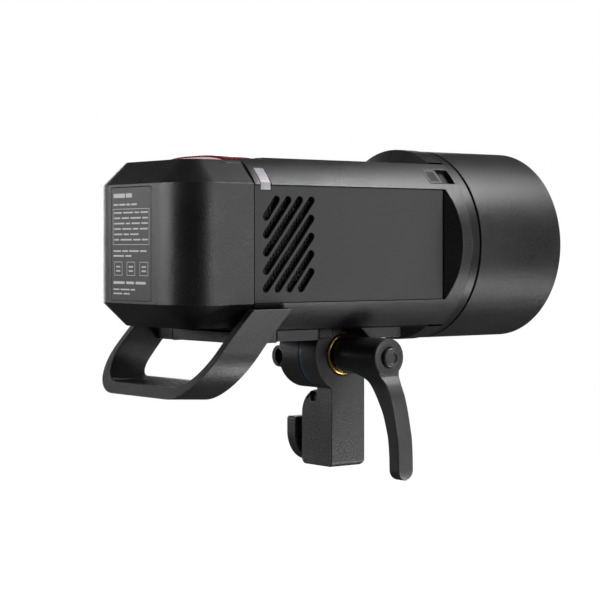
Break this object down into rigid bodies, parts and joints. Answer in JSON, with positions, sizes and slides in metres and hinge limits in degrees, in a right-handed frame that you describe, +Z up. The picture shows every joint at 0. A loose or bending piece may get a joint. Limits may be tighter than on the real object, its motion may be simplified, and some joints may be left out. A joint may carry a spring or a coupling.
{
  "type": "monolight strobe",
  "caption": "Battery-powered studio strobe head with slide-off battery, carrying handle, tilting stand bracket with clamp lever, bayonet front and protective cap.",
  "frame": {"origin": "centre of the stand socket's mouth, in the bottom face of the bracket", "axes": "+Z up, the light faces -Y along the optical axis, the battery is at +Y, the clamp lever is on the -X side and the control panel on the +X side"},
  "size_m": [0.1405, 0.3097, 0.2155],
  "materials": {
    "charcoal": "fine sparkle texture, satin",
    "grey_panel": "matte",
    "black_plastic": "satin",
    "light_pipe": "frosted, translucent",
    "red_plastic": "glossy",
    "steel": "satin",
    "brass": "turned",
    "blue_washer": "satin",
    "aluminium": "satin",
    "cast_metal": "fine textured powder coat",
    "glass": "clear",
    "board": "solder-resist green",
    "rubber": "matte",
    "blue_sleeve": "shrink sleeve",
    "label": "printed film",
    "lcd": "glossy window",
    "ceramic": "unglazed ceramic"
  },
  "bodies": {
    "bracket": {"bracket_body": "cast_metal", "blue_ring": "blue_washer", "brass_washer": "brass"},
    "head": {"housing_left": "charcoal", "housing_right": "charcoal", "side_panel_left": "grey_panel", "side_panel_right": "grey_panel", "vent_mesh_left": "steel", "vent_mesh_right": "steel", "light_strip_left": "light_pipe", "light_strip_right": "light_pipe", "lcd_screen": "lcd", "rear_bulkhead": "black_plastic", "terminal_block": "black_plastic", "fan_frame": "black_plastic", "heat_sink": "aluminium", "capacitor_1": "blue_sleeve", "capacitor_2": "blue_sleeve", "capacitor_3": "blue_sleeve", "capacitor_4": "blue_sleeve", "main_board": "board", "front_ring": "black_plastic", "bayonet_ring": "aluminium", "reflector_plate": "aluminium", "tube_socket": "ceramic", "flash_tube": "glass", "modelling_led": "aluminium", "glass_dome": "glass", "handle": "cast_metal", "tilt_mount": "cast_metal", "mount_screw_1": "steel", "mount_screw_2": "steel", "mount_screw_3": "steel", "mount_screw_4": "steel"},
    "clamp": {"clamp_stud": "steel", "lever_screw": "black_plastic", "lever_spring": "steel"},
    "lever": {"lever": "cast_metal"},
    "lock_carriage": {"lock_pad": "brass"},
    "stand_knob": {"stand_knob": "cast_metal"},
    "battery": {"battery_shell": "charcoal", "battery_cover": "black_plastic", "cell_pack": "blue_sleeve", "battery_board": "board", "label_plate": "label", "latch_spring": "steel"},
    "latch": {"battery_latch": "red_plastic"},
    "fan": {"fan_rotor": "black_plastic"},
    "slider": {"release_slider": "black_plastic"},
    "cap": {"protective_cap": "charcoal"},
    "dial": {"control_dial": "black_plastic"},
    "set_button": {"set_button": "black_plastic"},
    "menu_button": {"menu_button": "black_plastic"},
    "mode_button": {"mode_button": "black_plastic"},
    "test_button": {"test_button": "black_plastic"},
    "power_button": {"power_button": "black_plastic"},
    "port_cover": {"port_cover": "rubber"}
  },
  "joints": [
    {"name": "head_tilt", "type": "hinge", "parent": "bracket", "child": "head", "pos_m": [0, 0.004, 0.074], "axis": [1, 0, 0], "range_deg": [-60, 65]},
    {"name": "lever_clamp", "type": "hinge", "parent": "head", "child": "clamp", "pos_m": [0, 0.004, 0.074], "axis": [-1, 0, 0], "range_deg": [0, 90]},
    {"name": "lever_pull", "type": "slide", "parent": "clamp", "child": "lever", "axis": [-1, 0, 0], "range_m": [0, 0.005], "stiffness_N_per_m": 800, "springref_m": -0.004, "deforming": ["lever_spring"]},
    {"name": "lock_slide", "type": "slide", "parent": "bracket", "child": "lock_carriage", "axis": [1, 0, 0], "range_m": [0, 0.004]},
    {"name": "knob_turn", "type": "hinge", "parent": "lock_carriage", "child": "stand_knob", "pos_m": [0, 0, 0.0188], "axis": [1, 0, 0], "range_deg": [0, 1150]},
    {"name": "battery_slide", "type": "slide", "parent": "head", "child": "battery", "axis": [0, 1, 0], "range_m": [0, 0.07]},
    {"name": "latch_press", "type": "slide", "parent": "battery", "child": "latch", "axis": [0, 0, -1], "range_m": [0, 0.002], "stiffness_N_per_m": 1500, "springref_m": -0.001, "deforming": ["latch_spring"]},
    {"name": "fan_spin", "type": "hinge", "parent": "head", "child": "fan", "pos_m": [0, 0.077, 0.1468], "axis": [1, 0, 0], "continuous": true},
    {"name": "slider_push", "type": "slide", "parent": "head", "child": "slider", "axis": [0, -1, 0], "range_m": [0, 0.009], "stiffness_N_per_m": 200, "springref_m": -0.005},
    {"name": "cap_pull", "type": "slide", "parent": "head", "child": "cap", "axis": [0, -1, 0], "range_m": [0, 0.095]},
    {"name": "dial_turn", "type": "hinge", "parent": "head", "child": "dial", "pos_m": [0, -0.0335, 0.1508], "axis": [1, 0, 0], "continuous": true},
    {"name": "set_press", "type": "slide", "parent": "dial", "child": "set_button", "axis": [-1, 0, 0], "range_m": [0, 0.001], "stiffness_N_per_m": 600, "springref_m": -0.001},
    {"name": "menu_press", "type": "slide", "parent": "head", "child": "menu_button", "axis": [-1, 0, 0], "range_m": [0, 0.001], "stiffness_N_per_m": 600, "springref_m": -0.001},
    {"name": "mode_press", "type": "slide", "parent": "head", "child": "mode_button", "axis": [-1, 0, 0], "range_m": [0, 0.001], "stiffness_N_per_m": 600, "springref_m": -0.001},
    {"name": "test_press", "type": "slide", "parent": "head", "child": "test_button", "axis": [-1, 0, 0], "range_m": [0, 0.001], "stiffness_N_per_m": 600, "springref_m": -0.001},
    {"name": "power_press", "type": "slide", "parent": "head", "child": "power_button", "axis": [-1, 0, 0], "range_m": [0, 0.001], "stiffness_N_per_m": 600, "springref_m": -0.001},
    {"name": "port_cover_open", "type": "hinge", "parent": "head", "child": "port_cover", "pos_m": [0.0521, 0.0185, 0.1132], "axis": [0, 1, 0], "range_deg": [0, 100]}
  ],
  "couplings": [
    {"joint": "lock_slide", "follows": "knob_turn", "m_per_rad": 0.00019894}
  ]
}
